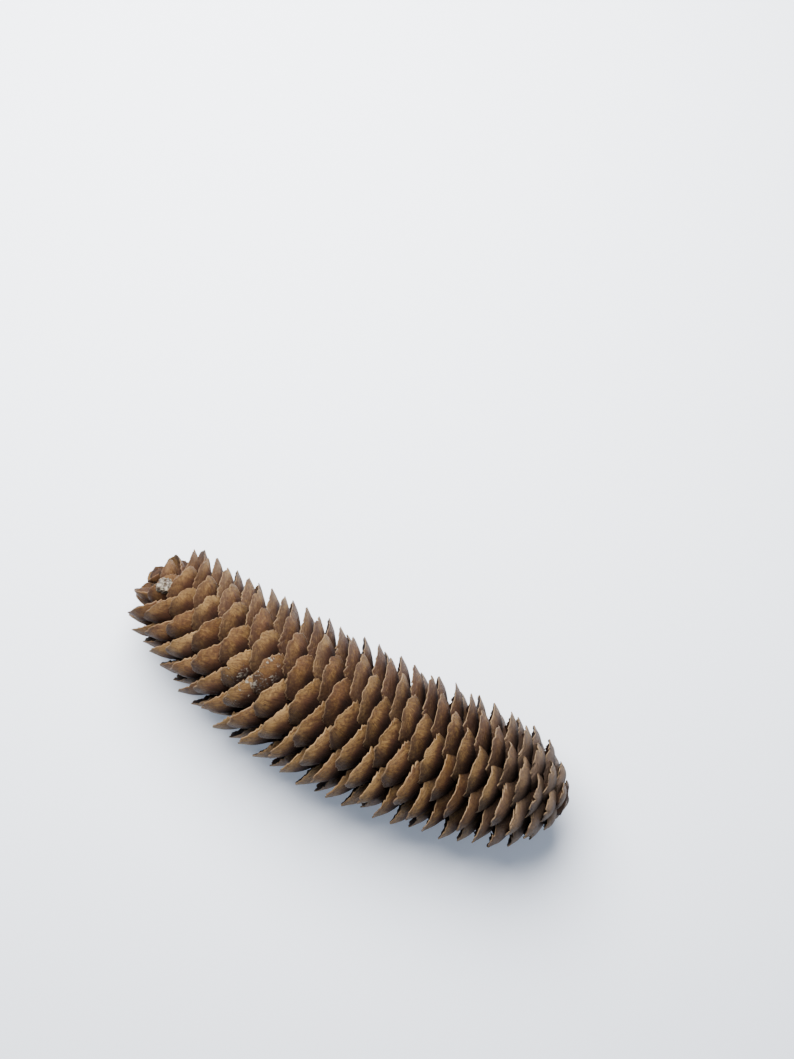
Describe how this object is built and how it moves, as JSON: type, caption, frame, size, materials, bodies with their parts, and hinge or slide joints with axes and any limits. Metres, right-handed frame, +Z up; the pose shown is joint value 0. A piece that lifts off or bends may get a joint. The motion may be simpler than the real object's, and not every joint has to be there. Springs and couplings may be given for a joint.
{
  "type": "spruce cone",
  "caption": "Open spruce cone lying on its side, with spirally set notched scales on a gently bent axis.",
  "frame": {"origin": "on the surface that the cone lies on, under the middle of its bounding box", "axes": "+X along the cone from the apex to the stalk end, +Z up, away from the surface; the bend lies in the XY plane"},
  "size_m": [0.1504, 0.0512, 0.0487],
  "materials": {
    "cone_wood": "dry woody scale, satin, faintly streaked"
  },
  "bodies": {
    "root": {"spruce_cone": "cone_wood"}
  },
  "joints": []
}
